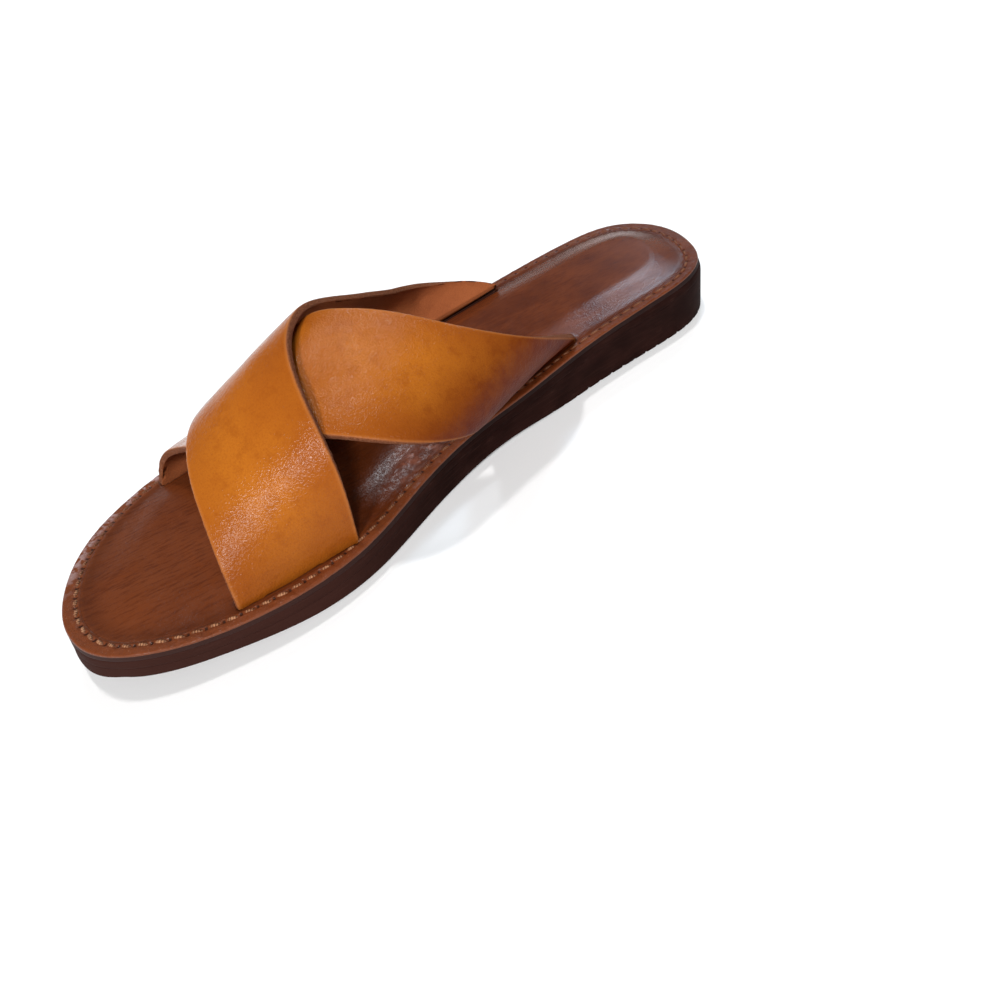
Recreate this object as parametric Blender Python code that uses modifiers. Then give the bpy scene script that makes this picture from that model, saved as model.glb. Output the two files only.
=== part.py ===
"""Right shoe of a pair of crossed-strap leather slides, made up the way a sandal maker does it.

From the floor up: a rubber outsole that is a wedge, a thin midsole, a padded leather insole with
four strap slots, and an upper of two leather straps glued together where they cross.
Metres, +Z up.  The toe points to -Y and the inner (medial) side of the foot to +X.  The tables
give millimetres from the line through the middle of the heel, with the floor at zero.
"""
import bpy
import numpy as np
from mathutils import Vector
from mathutils.bvhtree import BVHTree
from mathutils.geometry import delaunay_2d_cdt

MM = 0.001
NAME = "crossed_strap_slide"

# Driving sizes, in millimetres.
LENGTH = 273.0              # outsole, heel to toe
INSOLE_THICK = 2.6          # leather footbed at its stitched margin
MIDSOLE_THICK = 3.0
SEAM_GAP = 0.3              # clearance wherever two pieces meet
STRAP_THICK = 2.2
STRAP_LAP = 0.5             # clearance between the straps round the glued patch
PAD_RISE = 2.0              # how far the padded footbed stands above its margin
PAD_START = 4.0             # margin outside the pad
PAD_ROLL = 13.0             # width of the rounded shoulder of the pad
EDGE_BREAK = 0.6            # chamfer round the ground edge of the outsole
RIM_POINTS = 120            # points round the outline
FILL_ALONG = 6.0            # spacing of the points inside the outline, heel to toe
FILL_ACROSS = 11.0          # and across, where the layers are nearly level
SLOT_POINTS = 9             # points along each side of a slot
PATCH_RADIUS = 11.0         # glued patch at the crossing

# Outline: share of the length from the heel, edge on the outer (lateral) and inner side.
HEEL_TIP_X = -6.0
TOE_TIP_X = 10.5
OUTLINE = (
    # share  lateral  medial
    (0.030,  -26.6,   17.0),
    (0.070,  -32.2,   29.0),
    (0.120,  -34.7,   34.8),
    (0.200,  -36.3,   35.6),
    (0.330,  -37.8,   33.6),
    (0.450,  -41.2,   33.5),
    (0.550,  -44.7,   33.3),
    (0.650,  -45.6,   38.0),
    (0.750,  -46.0,   45.0),
    (0.820,  -44.8,   45.3),
    (0.900,  -37.1,   39.9),
    (0.960,  -20.9,   32.1),
    (0.985,   -8.1,   25.5),
)

# Side profile: share of the length, height of the rim, clearance of the underside from the floor.
PROFILE = (
    # share   rim   clearance
    (0.00,   23.0,  0.0),
    (0.20,   21.0,  0.0),
    (0.38,   18.4,  0.0),
    (0.50,   15.3,  1.6),
    (0.62,   13.6,  0.15),
    (0.66,   13.0,  0.0),
    (0.72,   11.9,  0.0),
    (0.76,   11.5,  0.15),
    (0.88,   11.6,  1.6),
    (1.00,   15.3,  5.2),
)

# Straps: the grain face at nine sections from the inner to the outer slot, each a straight line
# across the strap from its front edge to its rear edge.
TOP_STRAP = (
    #  front edge x, y, z       rear edge x, y, z
    ((36.5, -102.5, 12.2),  (41.0, -67.0, 12.0)),
    ((30.0, -100.5, 23.5),  (40.0, -65.5, 35.5)),
    ((16.0,  -96.0, 35.5),  (15.5, -58.2, 58.7)),
    ((-4.0,  -87.0, 42.5),  (-3.0, -44.3, 62.7)),
    ((-22.0, -69.0, 39.6),  (-16.0, -23.0, 55.0)),
    ((-37.5, -48.5, 33.2),  (-27.0, -1.0, 44.5)),
    ((-46.0, -28.0, 27.0),  (-38.0, 18.5, 35.6)),
    ((-45.0, -12.0, 21.5),  (-40.0, 37.0, 28.5)),
    ((-34.0,  -2.0, 16.6),  (-31.5, 54.0, 20.8)),
)
UNDER_STRAP = (
    #  front edge x, y, z       rear edge x, y, z
    ((28.3,  -8.0, 15.6),   (27.5, 41.0, 19.3)),
    ((46.0, -24.0, 24.0),   (40.5, 22.0, 33.0)),
    ((49.0, -41.0, 33.0),   (42.0, 3.5, 43.5)),
    ((40.0, -56.5, 40.6),   (29.0, -14.5, 53.3)),
    ((24.5, -70.5, 43.8),   (10.0, -30.0, 60.0)),
    ((7.0,  -85.5, 41.0),   (-4.4, -42.0, 58.4)),
    ((-16.0, -88.7, 32.2),  (-19.0, -45.1, 43.0)),
    ((-37.5, -94.6, 16.6),  (-43.5, -48.0, 17.5)),
    ((-37.8, -96.0, 12.2),  (-41.0, -53.0, 13.2)),
)
STRAP_STEPS = 44            # rows along each strap
STRAP_ACROSS = 8            # columns across each strap
GLUE_RADIUS = 8.0           # the straps lie one on the other this far from the crossing
GLUE_FADE = 26.0            # width over which the under strap leaves the top one
LAP_FADE = 18.0             # and over which it bends back beside it

MATERIALS = {
    # name           base colour              roughness
    "sole_rubber":   ((0.045, 0.022, 0.018), 0.70),
    "midsole_board": ((0.060, 0.028, 0.022), 0.65),
    "insole_leather": ((0.180, 0.062, 0.030), 0.35),
    "strap_leather": ((0.480, 0.150, 0.030), 0.40),
}


# ---------------------------------------------------------------- curves and profiles
def spline(rows, count, closed=False):
    """Points at even steps on the cubic spline through rows (chord-length knots)."""
    rows = np.asarray(rows, float)
    if closed:
        rows = np.vstack([rows[-4:], rows, rows[:5]])
    knots = np.r_[0.0, np.cumsum(np.linalg.norm(np.diff(rows, axis=0), axis=1))]
    steps = np.diff(knots)
    size = len(rows)
    system = np.eye(size)
    right = np.zeros_like(rows)
    for i in range(1, size - 1):
        system[i, i - 1:i + 2] = steps[i - 1], 2 * (steps[i - 1] + steps[i]), steps[i]
        right[i] = 6 * ((rows[i + 1] - rows[i]) / steps[i] - (rows[i] - rows[i - 1]) / steps[i - 1])
    bend = np.linalg.solve(system, right)
    first, last = (knots[4], knots[-5]) if closed else (knots[0], knots[-1])
    at = np.linspace(first, last, count + 1)[:count] if closed else np.linspace(first, last, count)
    i = np.clip(np.searchsorted(knots, at, side="right") - 1, 0, size - 2)
    h = steps[i][:, None]
    a = (knots[i + 1] - at)[:, None]
    b = (at - knots[i])[:, None]
    line = (rows[i] / h - bend[i] * h / 6) * a + (rows[i + 1] / h - bend[i + 1] * h / 6) * b
    return line + (bend[i] * a**3 + bend[i + 1] * b**3) / (6 * h)


def profile(y, column):
    """Column of PROFILE at y, by monotone cubics, so that equal rows stay flat between them."""
    table = np.array(PROFILE)
    at = np.clip(0.5 - np.asarray(y) / LENGTH, 0.0, 1.0)
    x, v = table[:, 0], table[:, column]
    slope = np.diff(v) / np.diff(x)
    ends = np.zeros(len(x))
    rising = slope[1:] * slope[:-1] > 0
    ends[1:-1] = np.where(rising, 2 * slope[1:] * slope[:-1] / (slope[1:] + slope[:-1] + 1e-12), 0)
    ends[0], ends[-1] = slope[0], slope[-1]
    i = np.clip(np.searchsorted(x, at, side="right") - 1, 0, len(x) - 2)
    h = x[i + 1] - x[i]
    t = (at - x[i]) / h
    blend = v[i] * (1 + 2 * t) * (1 - t)**2 + v[i + 1] * t**2 * (3 - 2 * t)
    return blend + h * (ends[i] * t * (1 - t)**2 - ends[i + 1] * t**2 * (1 - t))


def outline():
    """Closed outline of the sole, heel tip first, round the inner side to the toe and back."""
    lateral = [(lat, (0.5 - share) * LENGTH) for share, lat, _ in OUTLINE]
    medial = [(med, (0.5 - share) * LENGTH) for share, _, med in OUTLINE]
    heel, toe = (HEEL_TIP_X, 0.5 * LENGTH), (TOE_TIP_X, -0.5 * LENGTH)
    return spline([heel, *medial, toe, *lateral[::-1]], RIM_POINTS, closed=True)


RIM = outline()


def inset(distance):
    """The outline moved inwards by a distance."""
    along = np.roll(RIM, -1, axis=0) - np.roll(RIM, 1, axis=0)
    along /= np.linalg.norm(along, axis=1)[:, None]
    return RIM + distance * np.column_stack([along[:, 1], -along[:, 0]])


def depth_inside(points):
    """Distance of each point from the outline."""
    near = np.roll(RIM, -1, axis=0)
    side = near - RIM
    rel = points[:, None] - RIM[None]
    share = np.clip((rel * side).sum(2) / (side**2).sum(1), 0, 1)
    return np.linalg.norm(rel - share[..., None] * side, axis=2).min(axis=1)


def inside(points, loop):
    """True for each point that lies inside a closed loop."""
    a, b = loop, np.roll(loop, -1, axis=0)
    x, y = points[:, :1], points[:, 1:]
    spans = (a[:, 1] > y) != (b[:, 1] > y)
    rise = np.where(b[:, 1] == a[:, 1], 1.0, b[:, 1] - a[:, 1])
    cross = a[:, 0] + (y - a[:, 1]) * (b[:, 0] - a[:, 0]) / rise
    return (spans & (x < cross)).sum(axis=1) % 2 == 1


# ---------------------------------------------------------------- mesh helpers
def add_object(name, verts, faces, material):
    """Object from vertices in millimetres, with its own material."""
    mesh = bpy.data.meshes.new(name)
    mesh.from_pydata((np.asarray(verts) * MM).tolist(), [], [list(map(int, f)) for f in faces])
    mesh.materials.append(bpy.data.materials[material])
    obj = bpy.data.objects.new(name, mesh)
    bpy.data.collections[NAME].objects.link(obj)
    return obj


def modify(obj, kind, **settings):
    """Add a modifier and apply it."""
    mod = obj.modifiers.new(kind.lower(), kind)
    for key, value in settings.items():
        setattr(mod, key, value)
    bpy.context.view_layer.update()
    graph = bpy.context.evaluated_depsgraph_get()
    result = bpy.data.meshes.new_from_object(obj.evaluated_get(graph))
    obj.modifiers.clear()
    obj.data = result


def union(obj, tools):
    """Fuse the tools into obj and drop them."""
    for tool in tools:
        modify(obj, "BOOLEAN", operation="UNION", solver="EXACT", object=tool)
        bpy.data.objects.remove(tool)


def plate(name, material, insets, holes, top, bottom):
    """Solid between two height functions, inside the outline and round any holes.

    insets are the distances from the outline at which the heights need a ring of points.
    """
    loops = [RIM] + holes + [inset(d) for d in insets if d > 0]
    edges = []
    start = 0
    for loop in loops:
        edges += [(start + i, start + (i + 1) % len(loop)) for i in range(len(loop))]
        start += len(loop)
    xs = np.arange(-4, 5) * FILL_ACROSS
    ys = np.arange(-22, 23) * FILL_ALONG
    fill = np.array([(x, y) for y in ys for x in xs])
    fill = fill[inside(fill, RIM) & (depth_inside(fill) > max(insets) + 0.4 * FILL_ALONG)]
    points = [Vector(p) for p in np.vstack(loops + [fill])]
    flat = delaunay_2d_cdt(points, edges, [], 0, 1e-6)
    xy = np.array([tuple(v) for v in flat[0]])
    tris = np.array(flat[2])
    middle = xy[tris].mean(axis=1)
    keep = inside(middle, RIM)
    for hole in holes:
        keep &= ~inside(middle, hole)
    used, tris = np.unique(tris[keep], return_inverse=True)
    tris = tris.reshape(-1, 3)
    xy = xy[used]
    deep = depth_inside(xy)
    count = len(xy)
    verts = np.vstack([np.column_stack([xy, top(xy, deep)]), np.column_stack([xy, bottom(xy, deep)])])
    directed = {(a, b) for t in tris for a, b in zip(t, np.roll(t, -1))}
    walls = [(b, a, a + count, b + count) for a, b in directed if (b, a) not in directed]
    return add_object(name, verts, list(tris) + list(tris[:, ::-1] + count) + walls, material)


# ---------------------------------------------------------------- heights of the layers
def rim_height(xy, deep):
    return profile(xy[:, 1], 1)


def floor_height(xy, deep):
    """Underside, with the ground edge broken by a small chamfer."""
    return profile(xy[:, 1], 2) + np.clip(EDGE_BREAK - deep, 0, None)


def pad_height(xy, deep):
    """Top of the footbed: level margin, then the rounded shoulder of the padding."""
    t = np.clip((deep - PAD_START) / PAD_ROLL, 0, 1)
    return rim_height(xy, deep) + PAD_RISE * np.sin(t * np.pi / 2)**2


def below_rim(drop):
    """Height function a set distance under the rim."""
    return lambda xy, deep: rim_height(xy, deep) - drop


MIDSOLE_TOP = INSOLE_THICK + SEAM_GAP
OUTSOLE_TOP = MIDSOLE_TOP + MIDSOLE_THICK + SEAM_GAP


# ---------------------------------------------------------------- straps
def end_rows(rows, end):
    """Front and rear corner of a strap at one slot, as points on the footbed."""
    front, rear = rows[end]
    return np.array(front[:2]), np.array(rear[:2])


def slot(rows, end):
    """Slot for one end of a strap: the strap's own section with clearance all round."""
    front, rear = end_rows(rows, end)
    along = (rear - front) / np.linalg.norm(rear - front)
    across = np.array([-along[1], along[0]])
    if across[0] * front[0] > 0:
        across = -across
    share = np.linspace(0, 1, SLOT_POINTS)[:, None]
    line = (front - SEAM_GAP * along) * (1 - share) + (rear + SEAM_GAP * along) * share
    return np.vstack([line - SEAM_GAP * across, line[::-1] + (STRAP_THICK + SEAM_GAP) * across])


def strap_grid(rows):
    """Grain face of a strap as rows of points, with both ends carried down into their slots."""
    front = spline([f for f, _ in rows], STRAP_STEPS)
    rear = spline([r for _, r in rows], STRAP_STEPS)
    share = np.linspace(0, 1, STRAP_ACROSS + 1)[None, :, None]
    grid = front[:, None] * (1 - share) + rear[:, None] * share
    ends = []
    for row in (grid[0], grid[-1]):
        seat = row.copy()
        seat[:, 2] = rim_height(row[:, :2], 0) - MIDSOLE_TOP + SEAM_GAP
        ends.append(seat)
    return np.concatenate([ends[0][None], grid, ends[1][None]])


def grid_faces(shape):
    """Quads of a grid of points, facing outwards for straps laid from inner to outer side."""
    rows, cols = shape[:2]
    return [(i * cols + j, i * cols + j + 1, (i + 1) * cols + j + 1, (i + 1) * cols + j)
            for i in range(rows - 1) for j in range(cols - 1)]


def smooth(share):
    """0 to 1 with level ends."""
    share = min(max(share, 0.0), 1.0)
    return share * share * (3 - 2 * share)


def lay_under(grid, over):
    """Bend a strap under another: flat against it at the crossing, and clear of it elsewhere."""
    faces = grid_faces(over.shape)
    tree = BVHTree.FromPolygons(over.reshape(-1, 3).tolist(), faces)
    centre = crossing(over, grid)
    laid = grid.copy()
    for i in range(4, grid.shape[0] - 4):
        for j in range(grid.shape[1]):
            point = Vector(grid[i, j])
            near, normal, _, dist = tree.find_nearest(point)
            if normal.z < 0:
                normal = -normal
            under = (near - point).dot(normal)
            aside = max(dist**2 - under**2, 0.0)**0.5
            spare = under - STRAP_THICK - STRAP_LAP
            if spare > 0:
                away = np.linalg.norm(grid[i, j, :2] - centre)
                ease = smooth(1 - (away - GLUE_RADIUS) / GLUE_FADE)
            else:
                ease = smooth(1 - aside / LAP_FADE)
            laid[i, j] = point + normal * spare * ease
    return laid


def strap(name, grid):
    """Solid strap: the grain face thickened inwards."""
    obj = add_object(name, grid.reshape(-1, 3), grid_faces(grid.shape), "strap_leather")
    modify(obj, "SOLIDIFY", thickness=STRAP_THICK * MM, offset=-1.0, use_even_offset=True)
    return obj


def patch(over, under):
    """Glued patch: a round plug from inside the top strap to inside the under strap."""
    centre = crossing(over, under)
    tree_over = BVHTree.FromPolygons(over.reshape(-1, 3).tolist(), grid_faces(over.shape))
    tree_under = BVHTree.FromPolygons(under.reshape(-1, 3).tolist(), grid_faces(under.shape))
    sides = 24
    radii = (1.0, 0.6)
    flat = [(0.0, 0.0)] + [(r * PATCH_RADIUS * np.cos(a), r * PATCH_RADIUS * np.sin(a))
                           for r in radii for a in np.linspace(0, 2 * np.pi, sides + 1)[:sides]]
    sheets = []
    for tree in (tree_over, tree_under):
        hits = [tree.ray_cast(Vector((centre[0] + x, centre[1] + y, 200)), Vector((0, 0, -1)))[0]
                for x, y in flat]
        sheets.append(np.array(hits) - (0, 0, 0.5 * STRAP_THICK))
    outer = [1 + i for i in range(sides)]
    inner = [1 + sides + i for i in range(sides)]
    count = len(flat)
    faces = [(0, inner[i], inner[(i + 1) % sides]) for i in range(sides)]
    faces += [(inner[i], outer[i], outer[(i + 1) % sides], inner[(i + 1) % sides])
              for i in range(sides)]
    lower = [tuple(v + count for v in f[::-1]) for f in faces]
    walls = [(outer[(i + 1) % sides], outer[i], outer[i] + count, outer[(i + 1) % sides] + count)
             for i in range(sides)]
    return add_object("patch", np.vstack(sheets), faces + lower + walls, "strap_leather")


def crossing(over, under):
    """Middle of the place where two straps cross, seen from above."""
    middle = [g[:, g.shape[1] // 2, :2] for g in (over, under)]
    gap = np.linalg.norm(middle[0][:, None] - middle[1][None], axis=2)
    i, j = np.unravel_index(gap.argmin(), gap.shape)
    return (middle[0][i] + middle[1][j]) / 2


# ---------------------------------------------------------------- build
def clear_scene():
    for obj in list(bpy.data.objects):
        bpy.data.objects.remove(obj)
    bpy.context.scene.collection.children.link(bpy.data.collections.new(NAME))
    for name, (colour, roughness) in MATERIALS.items():
        mat = bpy.data.materials.new(name)
        mat.use_nodes = True
        shader = mat.node_tree.nodes["Principled BSDF"]
        shader.inputs["Base Color"].default_value = (*colour, 1.0)
        shader.inputs["Roughness"].default_value = roughness


def centre_on_origin(objects):
    """Move everything so that the middle of its bounding box stands over the origin."""
    points = np.array([v.co for obj in objects for v in obj.data.vertices])
    middle = (points.min(axis=0) + points.max(axis=0)) / 2
    for obj in objects:
        for vert in obj.data.vertices:
            vert.co -= Vector((middle[0], middle[1], 0.0))


def build():
    clear_scene()
    outsole = plate("outsole", "sole_rubber", [EDGE_BREAK], [], below_rim(OUTSOLE_TOP), floor_height)
    midsole = plate("midsole", "midsole_board", [0], [],
                    below_rim(MIDSOLE_TOP), below_rim(MIDSOLE_TOP + MIDSOLE_THICK))
    slots = [slot(rows, end) for rows in (TOP_STRAP, UNDER_STRAP) for end in (0, -1)]
    shoulder = [PAD_START, PAD_START + 0.33 * PAD_ROLL + 0.6, PAD_START + 0.66 * PAD_ROLL,
                PAD_START + PAD_ROLL]
    insole = plate("insole", "insole_leather", shoulder, slots, pad_height, below_rim(INSOLE_THICK))
    over = strap_grid(TOP_STRAP)
    under = lay_under(strap_grid(UNDER_STRAP), over)
    upper = strap("upper", over)
    union(upper, [patch(over, under), strap("under_strap", under)])
    centre_on_origin([outsole, midsole, insole, upper])


build()
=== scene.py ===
"""Looks of a leather slide with two crossed straps, the right shoe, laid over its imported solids.

Shapes are worked out in millimetres from the line through the middle of the heel, with the floor
at zero, the toe to -Y and the inner side of the foot to +X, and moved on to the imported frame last.
"""
import math
import bmesh
import bpy
import numpy as np
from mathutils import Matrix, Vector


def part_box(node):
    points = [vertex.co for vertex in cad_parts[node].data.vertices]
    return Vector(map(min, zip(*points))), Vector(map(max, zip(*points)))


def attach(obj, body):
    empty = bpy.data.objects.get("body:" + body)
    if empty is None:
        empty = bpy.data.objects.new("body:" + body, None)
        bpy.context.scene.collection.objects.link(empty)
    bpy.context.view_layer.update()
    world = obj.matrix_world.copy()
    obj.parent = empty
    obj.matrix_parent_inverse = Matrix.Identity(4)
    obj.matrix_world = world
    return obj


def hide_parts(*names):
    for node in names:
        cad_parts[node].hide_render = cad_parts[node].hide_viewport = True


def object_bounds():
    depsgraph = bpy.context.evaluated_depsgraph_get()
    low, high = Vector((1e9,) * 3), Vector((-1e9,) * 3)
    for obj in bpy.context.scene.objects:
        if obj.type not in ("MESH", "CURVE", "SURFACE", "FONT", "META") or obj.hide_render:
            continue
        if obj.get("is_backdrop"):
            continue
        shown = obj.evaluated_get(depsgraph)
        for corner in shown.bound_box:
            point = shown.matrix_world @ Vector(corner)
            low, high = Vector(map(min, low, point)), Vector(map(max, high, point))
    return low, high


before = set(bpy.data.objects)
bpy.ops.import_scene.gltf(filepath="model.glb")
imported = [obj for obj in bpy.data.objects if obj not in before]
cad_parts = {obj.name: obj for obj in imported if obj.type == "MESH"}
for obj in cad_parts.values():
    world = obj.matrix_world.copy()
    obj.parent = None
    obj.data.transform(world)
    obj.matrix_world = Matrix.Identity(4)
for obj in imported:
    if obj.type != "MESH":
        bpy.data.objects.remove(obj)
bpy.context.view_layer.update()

# ---------------------------------------------------------------------------------- camera
# Someone bends over the shoe from the front of its inner side, close by and with the head a
# little tilted, so the toe points to the lower left and the heel runs away to the upper right.
camera = bpy.data.objects.new("camera", bpy.data.cameras.new("camera"))
bpy.context.scene.collection.objects.link(camera)
camera.location = (0.1863, -0.1174, 0.1470)
camera.rotation_euler = [math.radians(turn) for turn in (54.56, 7.68, 45.02)]
camera.data.lens = 24.89
camera.data.shift_x, camera.data.shift_y = -0.0329, -0.0879
camera.data.clip_start = 0.01
bpy.context.scene.camera = camera

# --------------------------------------------------------------------------------- outsole
# A moulded rubber wedge, thick at the heel and thin at the toe, glued under the midsole.  Its
# wall is ground flush with the layers above it, and its tread has ribs from side to side.
LENGTH = 273.0
HEEL_TIP, TOE_TIP = (-6.0, 136.5), (10.5, -136.5)
OUTLINE = (
    # share of the length, outer edge, inner edge
    (0.030, -26.6, 17.0),
    (0.070, -32.2, 29.0),
    (0.120, -34.7, 34.8),
    (0.200, -36.3, 35.6),
    (0.330, -37.8, 33.6),
    (0.450, -41.2, 33.5),
    (0.550, -44.7, 33.3),
    (0.650, -45.6, 38.0),
    (0.750, -46.0, 45.0),
    (0.820, -44.8, 45.3),
    (0.900, -37.1, 39.9),
    (0.960, -20.9, 32.1),
    (0.985, -8.1, 25.5),
)
PROFILE = (
    # share of the length, height of the rim, clearance of the tread from the floor
    (0.00, 23.0, 0.0),
    (0.20, 21.0, 0.0),
    (0.38, 18.4, 0.0),
    (0.50, 15.3, 1.6),
    (0.62, 13.6, 0.15),
    (0.66, 13.0, 0.0),
    (0.72, 11.9, 0.0),
    (0.76, 11.5, 0.15),
    (0.88, 11.6, 1.6),
    (1.00, 15.3, 5.2),
)
LOOP_STEPS = 6000           # points on the drawn outline
STATIONS = 600              # points along each side of the sole, taken from it at even steps
SQUARE_IN = 17.0            # the grid runs square to the edge this far in, then to the spine
SPINE_FROM, SPINE_TO = 102.0, -94.0     # which stops short of the heel and of the toe
INSOLE_THICK, MIDSOLE_THICK = 2.6, 3.3
SEAM = 0.02                 # half the hairline between two layers
HEEL_SWELL = 1.2            # how far the wall stands out beyond the rim at the heel
TIP_SWELL = 1.7             # and at the foot of the toe's tip
BALL_UNDERCUT = 1.4         # and how far it is ground in below the big toe
SWELL_FADE = 12.0           # all three die out this far in from the edge
RIB_PITCH, RIB_GAP, RIB_DEEP = 6.5, 1.3, 0.6


def spline(rows, count, closed=False):
    """Even steps on the cubic through the rows: second derivatives from chord-length knots.

    A closed one runs on over its ends by a few rows, so that its join is as smooth as the rest.
    """
    overlap = 4
    rows = np.asarray(rows, float)
    if closed:
        rows = np.vstack([rows[-overlap:], rows, rows[:overlap + 1]])
    knots = np.r_[0.0, np.cumsum(np.linalg.norm(np.diff(rows, axis=0), axis=1))]
    steps = np.diff(knots)
    size = len(rows)
    system, right = np.eye(size), np.zeros_like(rows)
    inner = np.arange(1, size - 1)
    system[inner, inner - 1] = steps[:-1]
    system[inner, inner] = 2 * (steps[:-1] + steps[1:])
    system[inner, inner + 1] = steps[1:]
    slope = np.diff(rows, axis=0) / steps[:, None]
    right[inner] = 6 * np.diff(slope, axis=0)
    bend = np.linalg.solve(system, right)
    first, last = (knots[overlap], knots[-overlap - 1]) if closed else (knots[0], knots[-1])
    at = np.linspace(first, last, count + 1)[:count] if closed else np.linspace(first, last, count)
    i = np.clip(np.searchsorted(knots, at, side="right") - 1, 0, size - 2)
    h = steps[i][:, None]
    a, b = (knots[i + 1] - at)[:, None], (at - knots[i])[:, None]
    line = (rows[i] / h - bend[i] * h / 6) * a + (rows[i + 1] / h - bend[i + 1] * h / 6) * b
    return line + (bend[i] * a**3 + bend[i + 1] * b**3) / (6 * h)


def profile(y, column):
    """A column of PROFILE at y, by monotone cubics: level between equal rows."""
    table = np.array(PROFILE)
    at = np.clip(0.5 - np.asarray(y) / LENGTH, 0.0, 1.0)
    x, v = table[:, 0], table[:, column]
    slope = np.diff(v) / np.diff(x)
    ends = np.zeros(len(x))
    same = slope[1:] * slope[:-1] > 0
    ends[1:-1] = np.where(same, 2 * slope[1:] * slope[:-1] / (slope[1:] + slope[:-1] + 1e-12), 0)
    ends[0], ends[-1] = slope[0], slope[-1]
    i = np.clip(np.searchsorted(x, at, side="right") - 1, 0, len(x) - 2)
    h = x[i + 1] - x[i]
    t = (at - x[i]) / h
    level = v[i] * (1 + 2 * t) * (1 - t)**2 + v[i + 1] * t**2 * (3 - 2 * t)
    return level + h * (ends[i] * t * (1 - t)**2 - ends[i + 1] * t**2 * (1 - t))


def even_steps(path, count):
    """Points at even steps of length along a finely drawn path."""
    run = np.r_[0.0, np.cumsum(np.linalg.norm(np.diff(path, axis=0), axis=1))]
    at = np.linspace(0.0, run[-1], count)
    return np.column_stack([np.interp(at, run, path[:, axis]) for axis in range(path.shape[1])])


def smooth(t):
    """0 to 1 with level ends: 3t^2 - 2t^3."""
    t = np.clip(t, 0.0, 1.0)
    return t * t * (3 - 2 * t)


def hump(t):
    """Bell of height 1 and about two units wide: exp(-t^2)."""
    return np.exp(-np.square(t))


# The ring starts at the heel tip, runs down the inner side to the toe and back up the outer side.
outer_edge = [(outer, (0.5 - share) * LENGTH) for share, outer, _ in OUTLINE]
inner_edge = [(inner, (0.5 - share) * LENGTH) for share, _, inner in OUTLINE]
loop = spline([HEEL_TIP, *inner_edge, TOE_TIP, *outer_edge[::-1]], LOOP_STEPS, closed=True)
toe_at = np.linalg.norm(loop - TOE_TIP, axis=1).argmin()
inner_side = even_steps(loop[:toe_at + 1], STATIONS + 1)
outer_side = even_steps(np.vstack([loop[toe_at:], loop[:1]])[::-1], STATIONS + 1)
RING = np.vstack([inner_side[:-1], outer_side[:0:-1]])
middle = (inner_side + outer_side) / 2
spine_y = np.clip(middle[:, 1], SPINE_TO, SPINE_FROM)
spine = np.column_stack([np.interp(spine_y, middle[::-1, 1], middle[::-1, 0]), spine_y])
SPINE = np.vstack([spine[:-1], spine[:0:-1]])
along = np.roll(RING, -1, axis=0) - np.roll(RING, 1, axis=0)
along /= np.linalg.norm(along, axis=1)[:, None]
INWARD = np.column_stack([along[:, 1], -along[:, 0]])
box_low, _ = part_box("outsole")
SHIFT = np.array([box_low.x * 1000 - RING[:, 0].min(), box_low.y * 1000 - RING[:, 1].min(), 0.0])


def plan(depth, share):
    """Plan of the sole's grid: depth square in from the ring, then a share of the way to the spine."""
    out = RING[:, None] + INWARD[:, None] * np.broadcast_to(depth, (len(RING), len(share)))[..., None]
    return out + (SPINE[:, None] - out) * share[None, :, None]


def wall_out(below):
    """How far the ground wall stands out from the rim, by how far below it a point lies.

    It swells round the heel, beginning 20 mm behind the middle and 0.6 mm below the rim, and at the
    foot of the toe's tip.  Below the big toe it is ground in.
    """
    x, y = RING[:, :1], RING[:, 1:]
    down = np.clip(below / (profile(y, 1) - profile(y, 2)), 0, 1)
    heel = HEEL_SWELL * smooth((y - 20) / 70) * smooth((below - 0.6) / 5)
    tip = TIP_SWELL * smooth((-y - 131.5) / 5) * down
    ball = BALL_UNDERCUT * hump((y + 110) / 22) * smooth(x / 15) * down
    return heel + tip - ball


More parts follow.
